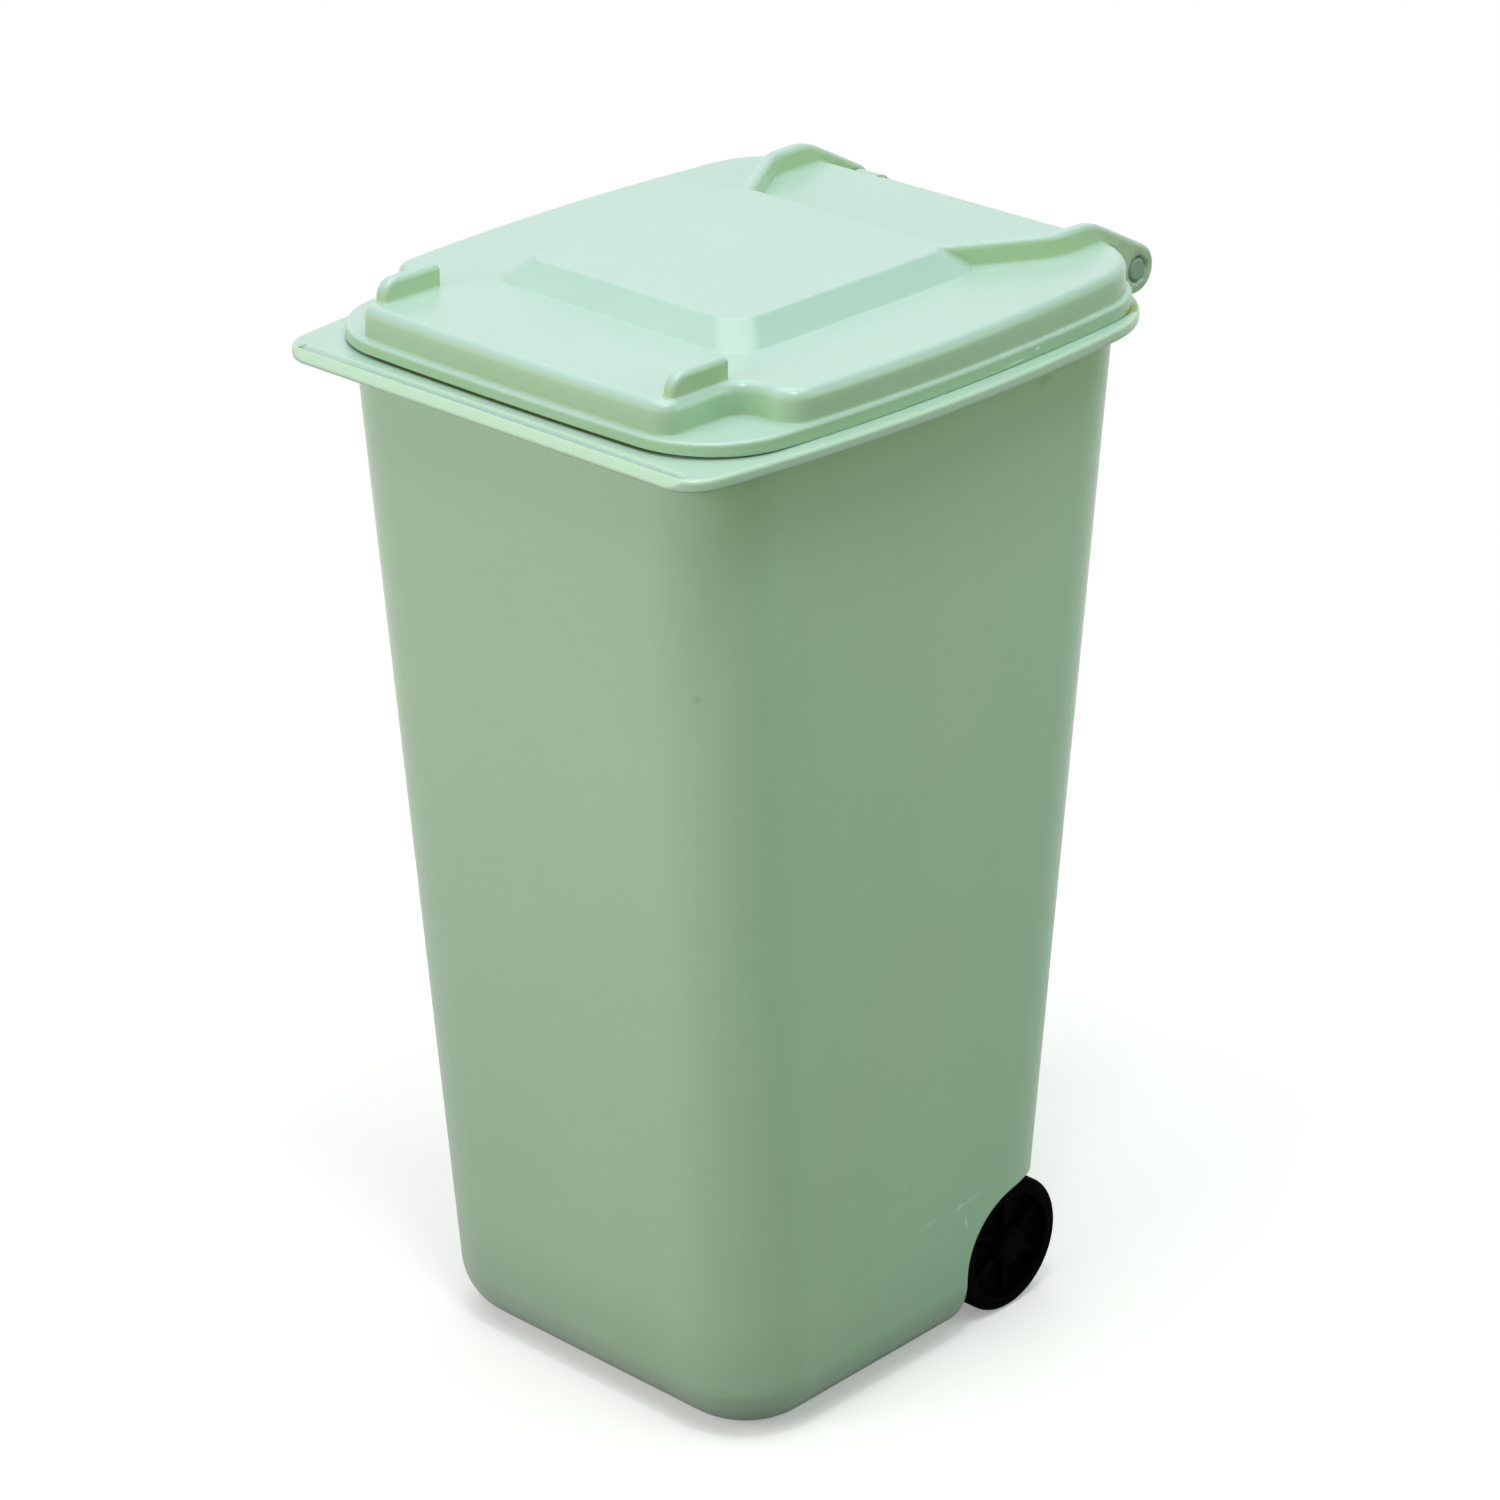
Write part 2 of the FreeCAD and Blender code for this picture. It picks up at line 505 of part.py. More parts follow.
def make_lid():
    """Brim, raised crown, panel, grip ribs and hinge arms in one moulding."""
    brim = bowed_plate(
        BRIM_CORNER_X, BRIM_FRONT_Y, BRIM_REAR_Y, BRIM_SIDE_BOW, BRIM_FRONT_BOW, BRIM_BOTTOM, BRIM_TOP,
    )
    brim = round_uprights(brim, [
        (BRIM_CORNER_X, BRIM_FRONT_Y, BRIM_FRONT_CORNER),
        (BRIM_CORNER_X, BRIM_REAR_Y, BRIM_REAR_CORNER),
    ])
    brim = brim.makeFillet(BRIM_EDGE_ROUND, rim_edges(brim, BRIM_TOP)).cut(lift_wedge())
    crown = crown_prism(0, BRIM_BOTTOM + BRIM_THICKNESS / 2, CROWN_TOP)
    crown = crown.makeFillet(CROWN_EDGE_ROUND, rim_edges(crown, CROWN_TOP))
    panel = panel_block(0, CROWN_TOP, PANEL_TOP)
    panel = panel.makeFillet(PANEL_EDGE_ROUND, rim_edges(panel, PANEL_TOP))
    foot = box(
        V(-PANEL_X + PANEL_CORNER, PANEL_FRONT_Y + PANEL_CORNER, CROWN_TOP - LID_WALL),
        V(PANEL_X - PANEL_CORNER, PANEL_REAR_Y - PANEL_CORNER, CROWN_TOP),
    )
    rib = make_rib()
    arm = make_arm()
    lid = brim.fuse([crown, foot, panel, rib, mirrored(rib), arm, mirrored(arm)])
    hollow = crown_prism(LID_WALL, BRIM_BOTTOM - OVERCUT, CROWN_TOP - LID_WALL)
    pocket = panel_block(LID_WALL, CROWN_TOP - LID_WALL, PANEL_TOP - LID_WALL)
    return lid.cut(hollow.fuse(pocket)).removeSplitter()


def make_pin():
    """Right hinge pin: tight in the lug, free in the lid's eye."""
    pin = bar_x(PIN_RADIUS, LUG_INNER_X, ARM_OUTER_X, HINGE_Y, HINGE_Z)
    return pin.makeChamfer(PIN_CHAMFER, [e for e in pin.Edges if e.BoundBox.XLength < PRESS_GAP])


def make_wheel():
    """Right wheel: tyre band, sunk dish with spokes, hub and bore."""
    wheel = bar_x(WHEEL_RADIUS, WHEEL_INNER_X, WHEEL_OUTER_X, AXLE_Y, AXLE_Z)
    wheel = wheel.makeFillet(WHEEL_EDGE_ROUND, [e for e in wheel.Edges if e.BoundBox.XLength < PRESS_GAP])
    dish_radius = WHEEL_RADIUS - WHEEL_TYRE
    outer_floor = WHEEL_OUTER_X - WHEEL_DISH_DEPTH
    inner_floor = WHEEL_INNER_X + WHEEL_DISH_DEPTH
    wheel = wheel.cut(bar_x(dish_radius, outer_floor, WHEEL_OUTER_X + OVERCUT, AXLE_Y, AXLE_Z))
    wheel = wheel.cut(bar_x(dish_radius, WHEEL_INNER_X - OVERCUT, inner_floor, AXLE_Y, AXLE_Z))
    hub = bar_x(WHEEL_HUB_RADIUS, WHEEL_INNER_X, inner_floor + WHEEL_DISH_DEPTH, AXLE_Y, AXLE_Z)
    spoke_end = WHEEL_RADIUS - WHEEL_TYRE / 2
    spokes = []
    for index in range(SPOKE_COUNT):
        spoke = box(
            V(outer_floor - WHEEL_DISH_DEPTH, AXLE_Y - SPOKE_THICKNESS / 2, AXLE_Z + WHEEL_HUB_RADIUS),
            V(outer_floor + SPOKE_RISE, AXLE_Y + SPOKE_THICKNESS / 2, AXLE_Z + spoke_end),
        )
        spoke.rotate(V(0, AXLE_Y, AXLE_Z), V(1, 0, 0), index * 360.0 / SPOKE_COUNT)
        spokes.append(spoke)
    wheel = wheel.fuse([hub] + spokes)
    bore_from = WHEEL_INNER_X - OVERCUT
    bore = bar_x(AXLE_RADIUS + RUNNING_GAP, bore_from, WHEEL_OUTER_X + OVERCUT, AXLE_Y, AXLE_Z)
    return wheel.cut(bore).removeSplitter()


def make_axle():
    """Steel axle, held by the hangers, with a cap pushed on each end."""
    axle = bar_x(AXLE_RADIUS, -AXLE_END_X, AXLE_END_X, AXLE_Y, AXLE_Z)
    return axle.makeChamfer(AXLE_CHAMFER, [e for e in axle.Edges if e.BoundBox.XLength < PRESS_GAP])


def make_cap():
    """Right push-on cap that keeps the wheel on the axle."""
    cap = bar_x(CAP_RADIUS, CAP_INNER_X, CAP_OUTER_X, AXLE_Y, AXLE_Z)
    cap = cap.makeFillet(CAP_ROUND, [e for e in cap.Edges if e.BoundBox.XMin > CAP_OUTER_X - PRESS_GAP])
    return cap.cut(bar_x(AXLE_RADIUS + PRESS_GAP, CAP_INNER_X - OVERCUT, AXLE_END_X, AXLE_Y, AXLE_Z))


def main():
    os.makedirs("parts", exist_ok=True)
    nodes = {"bin_body": make_body(), "lid": make_lid(), "axle": make_axle()}
    for name, shape in (("hinge_pin", make_pin()), ("wheel", make_wheel()), ("axle_cap", make_cap())):
        nodes[name + "_right"] = shape
        nodes[name + "_left"] = mirrored(shape)
    for name, shape in nodes.items():
        shape.exportStep("parts/" + name + ".step")
        print(name, "solids", len(shape.Solids), "valid", shape.isValid(), "volume", round(shape.Volume, 1))


main()
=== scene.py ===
import bpy
import json
import math
from mathutils import Matrix, Vector

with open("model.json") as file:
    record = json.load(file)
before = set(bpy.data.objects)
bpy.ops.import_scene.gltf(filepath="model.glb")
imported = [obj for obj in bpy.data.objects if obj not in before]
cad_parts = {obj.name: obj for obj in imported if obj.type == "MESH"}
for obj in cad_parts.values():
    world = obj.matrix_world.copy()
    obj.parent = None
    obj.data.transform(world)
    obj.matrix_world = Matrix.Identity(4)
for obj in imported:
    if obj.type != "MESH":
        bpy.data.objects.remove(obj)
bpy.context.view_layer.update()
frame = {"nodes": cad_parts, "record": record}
nodes = frame["nodes"]
record = frame["record"]
scene = bpy.context.scene
scene.view_settings.view_transform = "Standard"

# Colours, linear
TUB_GREEN = (0.42, 0.685, 0.45)
TUB_GREEN_WARM = (0.44, 0.68, 0.42)
# painted shade: darker, warmer green just below the rim's overhang
UNDER_RIM_SHADE = (0.36, 0.60, 0.24)
# painted shade: darker green towards the foot of the tub
FOOT_SHADE = (0.30, 0.50, 0.36)
# painted highlight: paler green on the rim's outer edges
RIM_HIGHLIGHT = (0.50, 0.73, 0.54)
# painted shade in the rim's groove
GROOVE_SHADE = (0.36, 0.53, 0.46)
# painted shadow: dark olive strip on the rim where the lid's front rests
GAP_SHADOW = (0.21, 0.33, 0.03)
# partly own colour and partly painted shade: lid sides darker low, paler higher up
LID_SHADE_LOW = (0.335, 0.55, 0.315)
LID_SHADE_MIDDLE = (0.37, 0.59, 0.345)
LID_SHADE_HIGH = (0.455, 0.69, 0.46)
ARM_GREEN = (0.40, 0.60, 0.335)
# painted shade on the lid's sloping faces
SLOPE_SHADE = (0.395, 0.605, 0.515)
# dust and painted top light: paler, cooler green on upward faces
DUST_AND_TOP_LIGHT = (0.465, 0.67, 0.585)
# partly worn and partly painted highlight: paler green for edges, also used for the flow lines
WORN_AND_HIGHLIGHT_GREEN = (0.66, 0.84, 0.70)
SCUFF = (0.70, 0.84, 0.73)
SPECK = (0.24, 0.28, 0.16)
GRIME = (0.20, 0.22, 0.10)
PIN_GREEN = (0.22, 0.36, 0.24)
PIN_GREEN_DUSTY = (0.29, 0.42, 0.31)
BLACK = (0.0004, 0.0004, 0.0005)
BLACK_DUSTY = (0.0012, 0.0012, 0.0012)
STEEL = (0.50, 0.50, 0.51)
STEEL_DULL = (0.38, 0.38, 0.39)

# Places on the bin that the paint follows, metres
RIM_TOP = 0.135
RIM_UNDER = 0.1334
RIM_REAR = 0.0409
GROOVE_Y = -0.04255
BRIM_FRONT = -0.0406
BRIM_FRONT_BOW = 0.0008
BRIM_HALF = 0.0323
BRIM_BOW = 0.0026
BRIM_CORNER = 0.0122
LID_TOP = 0.144
HINGE = next(j["pos_m"] for j in record["behaviour"]["joints"] if j["name"] == "lid_hinge")

# Lid colour up its sides, partly own colour and partly painted shade: share of the way from the rim to the
# lid's top, and colour
LID_SHADE_BY_HEIGHT = [
    (0.0, LID_SHADE_LOW), (0.21, LID_SHADE_LOW), (0.39, LID_SHADE_MIDDLE), (0.59, LID_SHADE_HIGH), (0.66, ARM_GREEN),
]

# Where the paint changes, metres: from none to full
UNDER_RIM_SHADE_FADE = (0.119, RIM_UNDER)
FOOT_SHADE_FADE = (0.018, 0.004)
ARM_FADE = (RIM_REAR, RIM_REAR + 0.001)
RIM_FADE_UP = (RIM_UNDER - 0.0001, RIM_UNDER + 0.0003)
RIM_FADE_BACK = (RIM_REAR + 0.0003, RIM_REAR)
GROOVE_SIDE_FADE = (0.0009, 0.0003)
GROOVE_END_FADE = (0.032, 0.030)
GAP_OUTER_FADE = (0.0001, 0.0004)
GAP_INNER_FADE = (0.003, 0.0015)
EYE_DIRT = (10.0, 0.0034, 0.0034)

# Rounding of edges in the shading, metres
MOULDED_EDGE = 0.0005
PIN_EDGE = 0.0002
WHEEL_EDGE = 0.0003
AXLE_EDGE = 0.0002

# Which way a face looks, as a share of its normal: from none to full
SIDEWAYS = (0.5, 0.9)
SLOPING = (0.3, 0.6)
UPWARD = (0.84, 0.97)
FLAT_RIM = (0.8, 0.95)
RIM_EDGE_UNDER = (-0.5, -0.1)
RIM_EDGE_OVER = (0.97, 0.8)
SHARP = (0.995, 0.9)

# Strength of each tint, 1 being full
UNDER_RIM_SHADE_TINT = 0.9
FOOT_SHADE_TINT = 0.65
RIM_HIGHLIGHT_TINT = 0.85
GROOVE_SHADE_TINT = 0.8
FLOW_TINT = 0.08
# dust and painted top light on upward faces
DUST_AND_TOP_LIGHT_TINT = (0.85, 1.0)
# partly worn and partly painted highlight on edges
WEAR_AND_HIGHLIGHT_TINT = (0.25, 0.6)
PIN_WEAR = 0.4
WHEEL_WEAR = 0.3

# Noise: repeats per metre, and the part of its range that a pattern uses
CLOUDS, CLOUD_RANGE = 22.0, (0.35, 0.65)
FLOW, FLOW_RANGE, FLOW_STRETCH = 60.0, (0.35, 0.8), (1.0, 1.0, 0.12)
DUST = 50.0
WEAR, WEAR_RANGE = 300.0, (0.25, 0.7)
GLOSS = 35.0
SINK, SINK_BUMP = 14.0, (0.2, 0.0004)
GRAIN, GRAIN_BUMP = 800.0, (0.04, 0.00004)
EYE_DIRT_NOISE, EYE_DIRT_RANGE = 800.0, (0.42, 0.6)
PIN_MOTTLE, PIN_GLOSS, PIN_GRAIN, PIN_BUMP = 900.0, 700.0, 2400.0, (0.15, 0.00005)
WHEEL_DUST, WHEEL_DUST_RANGE = 260.0, (0.45, 0.75)
WHEEL_GLOSS, WHEEL_GRAIN, WHEEL_BUMP = 300.0, 1800.0, (0.12, 0.00006)
STREAKS, STREAK_STRETCH, STREAK_BUMP = 900.0, (0.05, 1.0, 1.0), (0.1, 0.00003)
MIDDLE_RANGE = (0.3, 0.7)
MOTTLE_RANGE = (0.35, 0.7)
MARK_FADE = (0.05, 0.6)

# Roughness from and to, and how strongly the plastics shine
MOULDED_ROUGH = (0.22, 0.31)
PIN_ROUGH = (0.45, 0.6)
WHEEL_ROUGH = (0.55, 0.72)
AXLE_ROUGH = (0.26, 0.42)
MOULDED_SHINE = 0.75
MOULDED_SHEEN = 0.1
WHEEL_SHINE = 0.012

# Studio
FLOOR_SEEN = (0.86, 0.86, 0.86)
FLOOR_BOUNCE = (0.14, 0.14, 0.14)
FLOOR_GLOW = 0.3
FLOOR_REACH = 3.0
FLOOR_DROP = 0.00005
FADE_FROM = 0.10
FADE_TO = 0.24
ROOM = (0.95, 1.0, 0.94)
ROOM_STRENGTH = 0.22
SKY_STRENGTH = 1.0
# Name, place, aim, size, power, colour, and whether it mirrors in glossy faces
LAMPS = [
    ("overhead", (0.0, 0.0, 0.90), (0, 0, 0.08), (1.0, 1.0), 5.65, (0.98, 1.0, 1.0), True),
    ("key", (0.21, -0.178, 0.797), (0, 0, 0.08), (0.09, 0.09), 0.8, (1.0, 1.0, 1.0), True),
    ("front", (-0.06, -0.42, 0.22), (0, 0, 0.10), (0.28, 0.2), 0.84, (1.0, 0.89, 0.88), False),
    ("right", (0.60, 0.35, 0.35), (0, 0, 0.08), (0.5, 0.5), 1.1, (0.74, 1.0, 0.74), True),
]

# Camera
LENS = 117.9
SENSOR = 36.0
CLIP = (0.01, 20.0)
CAMERA_TARGET = Vector((-0.00146, 0.00289, 0.07684))
CAMERA_BACK = Vector((0.62248, -0.66404, 0.41421))
CAMERA_RIGHT = Vector((0.72957, 0.68391, 0.0))
CAMERA_DISTANCE = 0.61407


class Tree:
    """Small helper for building a material's nodes."""

    def __init__(self, name):
        self.material = bpy.data.materials.new(name)
        self.material.use_nodes = True
        self.nodes = self.material.node_tree.nodes
        self.links = self.material.node_tree.links
        self.nodes.clear()
        source = self.nodes.new("ShaderNodeTexCoord")
        self.coords = source.outputs["Object"]
        self.own_normal = source.outputs["Normal"]

    def add(self, kind, **settings):
        node = self.nodes.new(kind)
        for key, value in settings.items():
            setattr(node, key, value)
        return node

    def plug(self, source, node, socket):
        if isinstance(source, (int, float)):
            node.inputs[socket].default_value = source
        elif isinstance(source, tuple):
            node.inputs[socket].default_value = source + (1.0,) * (4 - len(source))
        else:
            self.links.new(source, node.inputs[socket])

    def split(self, vector):
        node = self.add("ShaderNodeSeparateXYZ")
        self.links.new(vector, node.inputs[0])
        return node.outputs["X"], node.outputs["Y"], node.outputs["Z"]

    def noise(self, scale, detail=3.0, rough=0.55, coords=None):
        node = self.add("ShaderNodeTexNoise")
        self.plug(coords or self.coords, node, "Vector")
        node.inputs["Scale"].default_value = scale
        node.inputs["Detail"].default_value = detail
        node.inputs["Roughness"].default_value = rough
        return node.outputs["Fac"]

    def stretched(self, scale):
        node = self.add("ShaderNodeMapping")
        self.links.new(self.coords, node.inputs["Vector"])
        node.inputs["Scale"].default_value = scale
        return node.outputs["Vector"]

    def span(self, value, low, high, out_low=0.0, out_high=1.0):
        node = self.add("ShaderNodeMapRange")
        self.plug(value, node, "Value")
        node.inputs["From Min"].default_value = low
        node.inputs["From Max"].default_value = high
        node.inputs["To Min"].default_value = out_low
        node.inputs["To Max"].default_value = out_high
        return node.outputs["Result"]

    def calc(self, operation, a, b=0.0):
        node = self.add("ShaderNodeMath", operation=operation)
        self.plug(a, node, 0)
        self.plug(b, node, 1)
        return node.outputs[0]

    def all_of(self, *masks):
        value = masks[0]
        for mask in masks[1:]:
            value = self.calc("MULTIPLY", value, mask)
        return value

    def mix(self, factor, a, b):
        node = self.add("ShaderNodeMix", data_type="RGBA")
        self.plug(factor, node, "Factor")
        for source, socket in ((a, 6), (b, 7)):
            self.plug(source, node, socket)
        return node.outputs[2]

    def ramp(self, value, stops):
        node = self.add("ShaderNodeValToRGB")
        self.links.new(value, node.inputs["Fac"])
        elements = node.color_ramp.elements
        while len(elements) < len(stops):
            elements.new(1.0)
        for element, (place, colour) in zip(elements, stops):
            element.position = place
            element.color = colour + (1.0,)
        return node.outputs["Color"]

    def edges(self, soft):
        """1 where the softened normal leaves the true one, so on edges, and 0 on flat ground."""
        ground = self.add("ShaderNodeNewGeometry")
        dot = self.add("ShaderNodeVectorMath", operation="DOT_PRODUCT")
        self.links.new(soft, dot.inputs[0])
        self.links.new(ground.outputs["Normal"], dot.inputs[1])
        return self.span(dot.outputs["Value"], *SHARP)

    def ball(self, place, size, turn=0.0):
        """1 at the middle of a stretched ball, falling to 0 at its edge. Metres and degrees."""
        node = self.add("ShaderNodeMapping", vector_type="TEXTURE")
        self.links.new(self.coords, node.inputs["Vector"])
        node.inputs["Location"].default_value = place
        node.inputs["Rotation"].default_value = (math.radians(turn), 0, 0)
        node.inputs["Scale"].default_value = size
        shape = self.add("ShaderNodeTexGradient", gradient_type="SPHERICAL")
        self.links.new(node.outputs["Vector"], shape.inputs["Vector"])
        return shape.outputs["Fac"]

    def bump(self, height, strength, distance, normal):
        node = self.add("ShaderNodeBump")
        node.inputs["Strength"].default_value = strength
        node.inputs["Distance"].default_value = distance
        self.plug(height, node, "Height")
        self.links.new(normal, node.inputs["Normal"])
        return node.outputs["Normal"]

    def soft_normal(self, radius):
        node = self.add("ShaderNodeBevel", samples=6)
        node.inputs["Radius"].default_value = radius
        return node.outputs["Normal"]

    def shader(self, colour, roughness, normal, **constants):
        node = self.add("ShaderNodeBsdfPrincipled")
        self.plug(colour, node, "Base Color")
        self.plug(roughness, node, "Roughness")
        self.links.new(normal, node.inputs["Normal"])
        for socket, value in constants.items():
            node.inputs[socket.replace("_", " ")].default_value = value
        out = self.add("ShaderNodeOutputMaterial")
        self.links.new(node.outputs["BSDF"], out.inputs["Surface"])
        return self.material


def tub_ground(t):
    """Tub walls: warm and cool clouds, painted shade darker and warmer just below the rim at the sides, and
    painted shade darker towards the foot.
    """
    z = t.split(t.coords)[2]
    across = t.calc("ABSOLUTE", t.split(t.own_normal)[0])
    colour = t.mix(t.span(t.noise(CLOUDS, 2.0), *CLOUD_RANGE), TUB_GREEN, TUB_GREEN_WARM)
    # painted shade: darker, warmer green just below the rim on the sides
    under_rim_shade = t.all_of(t.span(z, *UNDER_RIM_SHADE_FADE, 0.0, UNDER_RIM_SHADE_TINT), t.span(across, *SIDEWAYS))
    colour = t.mix(under_rim_shade, colour, UNDER_RIM_SHADE)
    # painted shade: darker towards the foot
    return t.mix(t.span(z, *FOOT_SHADE_FADE, 0.0, FOOT_SHADE_TINT), colour, FOOT_SHADE)


def lid_ground(t):
    """Lid sides: partly own colour and partly painted shade, deep at the brim and paler up the crown, warm
    on ribs and arms, and painted shade on the slopes.
    """
    y, z = t.split(t.coords)[1:]
    # partly own colour and partly painted shade: darker low on the sides, paler higher up
    colour = t.ramp(t.span(z, RIM_TOP, LID_TOP), LID_SHADE_BY_HEIGHT)
    colour = t.mix(t.span(y, *ARM_FADE), colour, ARM_GREEN)
    # painted shade on the sloping faces
    return t.mix(t.span(t.split(t.own_normal)[2], *SLOPING), colour, SLOPE_SHADE)


def inside_brim(t, aside, y):
    """How far a place is inside the outline of the lid's brim, bowed with round front corners."""
    along = t.calc("POWER", t.calc("DIVIDE", y, BRIM_FRONT), 2.0)
    half = t.calc("SUBTRACT", BRIM_HALF + BRIM_BOW, t.calc("MULTIPLY", along, BRIM_BOW))
    bow = t.calc("MULTIPLY", t.calc("POWER", t.calc("DIVIDE", aside, BRIM_HALF), 2.0), BRIM_FRONT_BOW)
    past_side = t.calc("MAXIMUM", t.calc("SUBTRACT", aside, t.calc("SUBTRACT", half, BRIM_CORNER)), 0.0)
    corner_y = t.calc("ADD", bow, BRIM_FRONT + BRIM_CORNER)
    past_front = t.calc("MAXIMUM", t.calc("SUBTRACT", corner_y, y), 0.0)
    squares = t.calc("ADD", t.calc("POWER", past_side, 2.0), t.calc("POWER", past_front, 2.0))
    return t.calc("SUBTRACT", BRIM_CORNER, t.calc("SQRT", squares))


def rim_paint(t, colour):
    """Rim: painted highlight on its outer edges, painted shade in the groove, and a painted shadow where
    the lid's front rests.
    """
    x, y, z = t.split(t.coords)
    up = t.split(t.own_normal)[2]
    aside = t.calc("ABSOLUTE", x)
    at_rim = t.all_of(t.span(z, *RIM_FADE_UP), t.span(y, *RIM_FADE_BACK))
    # painted highlight: paler rim edges
    edge = t.all_of(at_rim, t.span(up, *RIM_EDGE_UNDER), t.span(up, *RIM_EDGE_OVER, 0.0, RIM_HIGHLIGHT_TINT))
    colour = t.mix(edge, colour, RIM_HIGHLIGHT)
    # painted shade in the rim's groove
    off_groove = t.calc("ABSOLUTE", t.calc("SUBTRACT", y, GROOVE_Y))
    dirt_and_shade = t.span(off_groove, *GROOVE_SIDE_FADE, 0.0, GROOVE_SHADE_TINT)
    colour = t.mix(t.all_of(at_rim, dirt_and_shade, t.span(aside, *GROOVE_END_FADE)), colour, GROOVE_SHADE)
    inside = inside_brim(t, aside, y)
    # painted shadow: dark olive strip where the lid's front rests
    gap_shadow = t.all_of(t.span(inside, *GAP_OUTER_FADE), t.span(inside, *GAP_INNER_FADE), t.span(up, *FLAT_RIM))
    return t.mix(t.all_of(gap_shadow, at_rim), colour, GAP_SHADOW)


def moulded(name, ground, topping, marks):
    """Satin moulded plastic: faint flow lines, dust and painted top light on upward faces, fine grain,
    paler edges partly worn and partly painted highlight, and a few marks.
    """
    t = Tree(name)
    soft = t.soft_normal(MOULDED_EDGE)
    colour = ground(t)
    flow = t.noise(FLOW, 2.0, coords=t.stretched(FLOW_STRETCH))
    colour = t.mix(t.span(flow, *FLOW_RANGE, 0.0, FLOW_TINT), colour, WORN_AND_HIGHLIGHT_GREEN)
    up = t.split(t.own_normal)[2]
    # dust and painted top light: upward faces paler and cooler
    dust_and_top_light = t.all_of(t.span(up, *UPWARD), t.span(t.noise(DUST, 2.0), *MIDDLE_RANGE, *DUST_AND_TOP_LIGHT_TINT))
    colour = t.mix(dust_and_top_light, colour, DUST_AND_TOP_LIGHT)
    if topping:
        colour = topping(t, colour)
    # partly worn and partly painted highlight: paler edges
    wear_and_highlight = t.all_of(t.edges(soft), t.span(t.noise(WEAR, 2.0), *WEAR_RANGE, *WEAR_AND_HIGHLIGHT_TINT))
    colour = t.mix(wear_and_highlight, colour, WORN_AND_HIGHLIGHT_GREEN)
    for mark, strength, paint in marks:
        colour = t.mix(t.span(mark(t), *MARK_FADE, 0.0, strength), colour, paint)
    rough = t.span(t.noise(GLOSS, 3.0), *MIDDLE_RANGE, *MOULDED_ROUGH)
    normal = t.bump(t.noise(SINK, 1.0), *SINK_BUMP, soft)
    normal = t.bump(t.noise(GRAIN, 1.0), *GRAIN_BUMP, normal)
    return t.shader(colour, rough, normal, Specular_IOR_Level=MOULDED_SHINE, Sheen_Weight=MOULDED_SHEEN)


def pin_plastic():
    """Matt, darker plastic of the hinge pins."""
    t = Tree("pin_plastic")
    soft = t.soft_normal(PIN_EDGE)
    colour = t.mix(t.span(t.noise(PIN_MOTTLE, 3.0), *MOTTLE_RANGE), PIN_GREEN, PIN_GREEN_DUSTY)
    colour = t.mix(t.calc("MULTIPLY", t.edges(soft), PIN_WEAR), colour, WORN_AND_HIGHLIGHT_GREEN)
    rough = t.span(t.noise(PIN_GLOSS, 2.0), *MIDDLE_RANGE, *PIN_ROUGH)
    return t.shader(colour, rough, t.bump(t.noise(PIN_GRAIN, 2.0), *PIN_BUMP, soft))


def wheel_plastic():
    """Matt black plastic with a little dust, for the wheels and their caps."""
    t = Tree("wheel_plastic")
    soft = t.soft_normal(WHEEL_EDGE)
    colour = t.mix(t.span(t.noise(WHEEL_DUST, 4.0), *WHEEL_DUST_RANGE), BLACK, BLACK_DUSTY)
    colour = t.mix(t.calc("MULTIPLY", t.edges(soft), WHEEL_WEAR), colour, BLACK_DUSTY)
    rough = t.span(t.noise(WHEEL_GLOSS, 3.0), *MIDDLE_RANGE, *WHEEL_ROUGH)
    normal = t.bump(t.noise(WHEEL_GRAIN, 2.0), *WHEEL_BUMP, soft)
    return t.shader(colour, rough, normal, Specular_IOR_Level=WHEEL_SHINE)


def axle_steel():
    """Drawn steel, streaked along the axle."""
    t = Tree("axle_steel")
    streak = t.noise(STREAKS, 3.0, coords=t.stretched(STREAK_STRETCH))
    colour = t.mix(t.span(streak, *MOTTLE_RANGE), STEEL, STEEL_DULL)
    rough = t.span(streak, *MIDDLE_RANGE, *AXLE_ROUGH)
    normal = t.bump(streak, *STREAK_BUMP, t.soft_normal(AXLE_EDGE))
    return t.shader(colour, rough, normal, Metallic=1.0)


def stroke(place, size, turn=0.0):
    """One small mark, in millimetres and degrees."""
    return lambda t: t.ball([v / 1000 for v in place], [v / 1000 for v in size], turn)


def eye_grime(t):
    """Dirt in a ring around the hinge pins."""
    dirt_and_shade = t.span(t.noise(EYE_DIRT_NOISE, 3.0), *EYE_DIRT_RANGE)
    return t.calc("MULTIPLY", t.ball(HINGE, EYE_DIRT), dirt_and_shade)


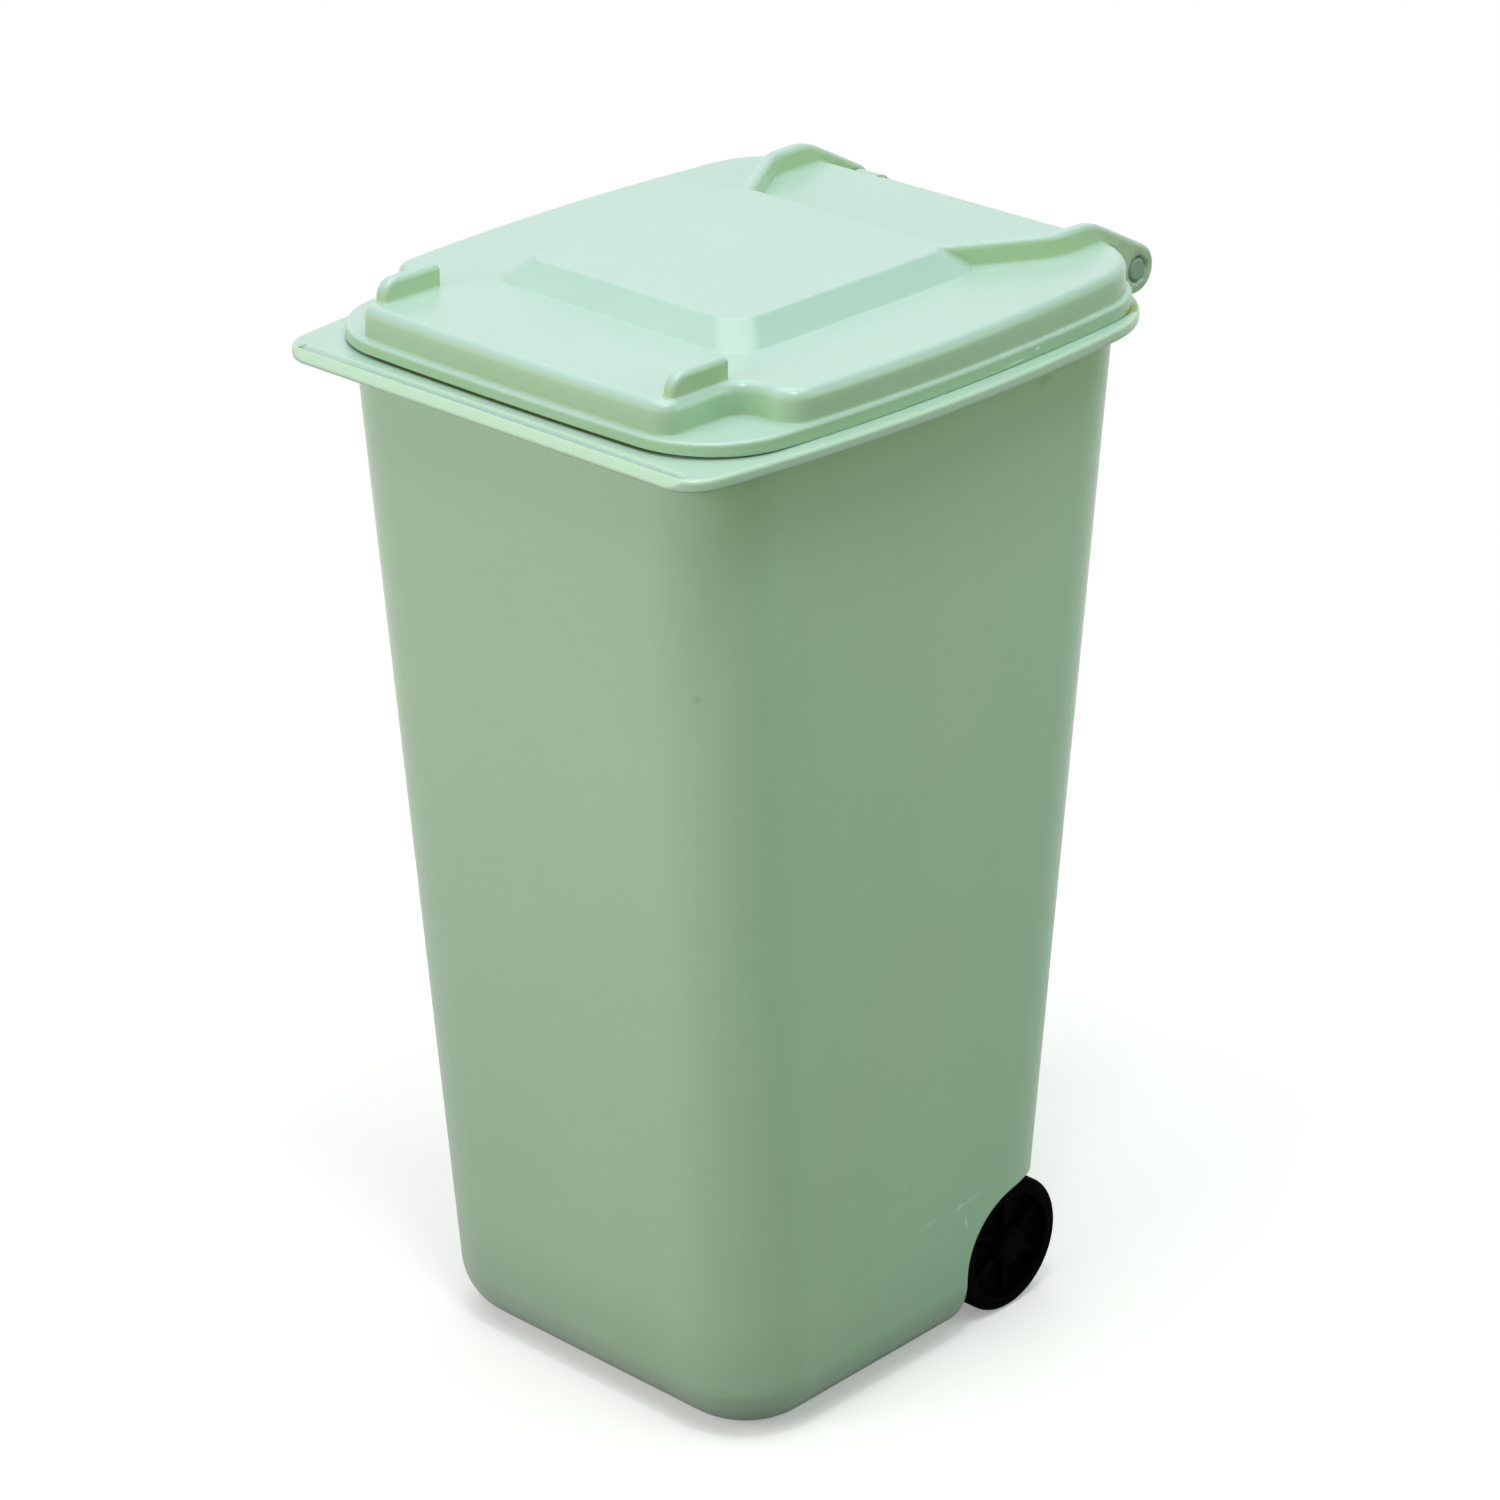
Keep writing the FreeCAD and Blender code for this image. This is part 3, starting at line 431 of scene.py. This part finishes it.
# Each mark: where it is, how strong and in which colour
TUB_MARKS = [
    (stroke((29.2, 10.9, 20.9), (3.0, 4.2, 0.35), 10.0), 0.35, SCUFF),
    (stroke((29.2, 9.0, 20.7), (3.0, 1.0, 0.32), 20.0), 0.9, SCUFF),
    (stroke((29.1, 10.5, 17.8), (3.0, 0.32, 1.3), 10.0), 0.8, SCUFF),
    (stroke((29.2, 3.4, 20.7), (3.0, 2.2, 0.4), 10.0), 0.4, SCUFF),
    (stroke((26.0, -35.2, 104.4), (0.8, 0.8, 0.8)), 0.28, SPECK),
    (stroke((31.7, 18.4, 130.1), (2.0, 1.7, 0.9)), 0.4, SPECK),
]
LID_MARKS = [
    (stroke((34.7, 13.6, 136.1), (1.4, 0.55, 0.32)), 0.8, SCUFF),
    (stroke((34.7, 9.6, 135.5), (1.4, 2.2, 0.25)), 0.5, SCUFF),
    (eye_grime, 0.75, GRIME),
]
paints = {
    "mint_plastic": moulded("mint_plastic", tub_ground, rim_paint, TUB_MARKS),
    "lid_plastic": moulded("lid_plastic", lid_ground, None, LID_MARKS),
    "pin_plastic": pin_plastic(),
    "wheel_plastic": wheel_plastic(),
    "axle_steel": axle_steel(),
}
for part in record["subparts"]:
    piece = nodes[part["node"]]
    piece.data.materials.clear()
    piece.data.materials.append(paints[part["material_slot"]])


def ray_is(tree_nodes, links, names):
    """1 where any of the named kinds of ray is looking."""
    path = tree_nodes.new("ShaderNodeLightPath")
    value = path.outputs[names[0]]
    for name in names[1:]:
        node = tree_nodes.new("ShaderNodeMath")
        node.operation = "MAXIMUM"
        links.new(value, node.inputs[0])
        links.new(path.outputs[name], node.inputs[1])
        value = node.outputs[0]
    return value


def make_floor():
    """Pale floor that keeps the shadow near the object and fades into the white around it."""
    mesh = bpy.data.meshes.new("floor")
    corners = [(x * FLOOR_REACH, y * FLOOR_REACH, 0) for x, y in ((-1, -1), (1, -1), (1, 1), (-1, 1))]
    mesh.from_pydata(corners, [], [(0, 1, 2, 3)])
    floor = bpy.data.objects.new("floor", mesh)
    scene.collection.objects.link(floor)
    floor.location.z = -FLOOR_DROP
    t = Tree("floor")
    seen = t.add("ShaderNodeBsdfDiffuse")
    seen.inputs["Color"].default_value = FLOOR_SEEN + (1,)
    glow = t.add("ShaderNodeEmission")
    glow.inputs["Strength"].default_value = FLOOR_GLOW
    lit = t.add("ShaderNodeAddShader")
    t.links.new(seen.outputs[0], lit.inputs[0])
    t.links.new(glow.outputs[0], lit.inputs[1])
    near = t.add("ShaderNodeMixShader")
    t.links.new(ray_is(t.nodes, t.links, ["Is Camera Ray"]), near.inputs[0])
    t.links.new(seen.outputs[0], near.inputs[1])
    t.links.new(lit.outputs[0], near.inputs[2])
    clear = t.add("ShaderNodeBsdfTransparent")
    distance = t.add("ShaderNodeVectorMath", operation="LENGTH")
    t.links.new(t.coords, distance.inputs[0])
    fade = t.add("ShaderNodeMixShader")
    t.links.new(t.span(distance.outputs["Value"], FADE_FROM, FADE_TO), fade.inputs[0])
    t.links.new(near.outputs[0], fade.inputs[1])
    t.links.new(clear.outputs[0], fade.inputs[2])
    bounce = t.add("ShaderNodeBsdfDiffuse")
    bounce.inputs["Color"].default_value = FLOOR_BOUNCE + (1,)
    pick = t.add("ShaderNodeMixShader")
    t.links.new(ray_is(t.nodes, t.links, ["Is Camera Ray", "Is Glossy Ray"]), pick.inputs[0])
    t.links.new(bounce.outputs[0], pick.inputs[1])
    t.links.new(fade.outputs[0], pick.inputs[2])
    out = t.add("ShaderNodeOutputMaterial")
    t.links.new(pick.outputs[0], out.inputs["Surface"])
    mesh.materials.append(t.material)


def make_world():
    """White to look at and in reflections, a soft pale room for the light."""
    world = bpy.data.worlds.new("studio")
    scene.world = world
    world.use_nodes = True
    tree = world.node_tree
    tree.nodes.clear()
    room = tree.nodes.new("ShaderNodeBackground")
    room.inputs["Color"].default_value = ROOM + (1,)
    room.inputs["Strength"].default_value = ROOM_STRENGTH
    white = tree.nodes.new("ShaderNodeBackground")
    white.inputs["Color"].default_value = (1, 1, 1, 1)
    white.inputs["Strength"].default_value = SKY_STRENGTH
    looking = ray_is(tree.nodes, tree.links, ["Is Camera Ray", "Is Glossy Ray", "Is Transmission Ray"])
    pick = tree.nodes.new("ShaderNodeMixShader")
    tree.links.new(looking, pick.inputs[0])
    tree.links.new(room.outputs[0], pick.inputs[1])
    tree.links.new(white.outputs[0], pick.inputs[2])
    out = tree.nodes.new("ShaderNodeOutputWorld")
    tree.links.new(pick.outputs[0], out.inputs["Surface"])


def make_lamp(name, place, aim, size, power, colour, in_gloss):
    """One soft panel of light, turned to its aim."""
    data = bpy.data.lights.new(name, "AREA")
    data.shape = "RECTANGLE"
    data.size, data.size_y = size
    data.energy = power
    data.color = colour
    lamp = bpy.data.objects.new(name, data)
    scene.collection.objects.link(lamp)
    lamp.visible_glossy = in_gloss
    lamp.location = place
    lamp.rotation_euler = (Vector(aim) - Vector(place)).to_track_quat("-Z", "Y").to_euler()


def make_camera():
    """Camera at the bin's front right, looking down a little."""
    data = bpy.data.cameras.new("camera")
    data.sensor_width = SENSOR
    data.lens = LENS
    data.clip_start, data.clip_end = CLIP
    camera = bpy.data.objects.new("camera", data)
    scene.collection.objects.link(camera)
    axes = Matrix((CAMERA_RIGHT, CAMERA_BACK.cross(CAMERA_RIGHT), CAMERA_BACK)).transposed()
    place = CAMERA_TARGET + CAMERA_DISTANCE * CAMERA_BACK
    camera.matrix_world = Matrix.Translation(place) @ axes.to_4x4()
    scene.camera = camera


make_floor()
make_world()
for lamp in LAMPS:
    make_lamp(*lamp)
make_camera()
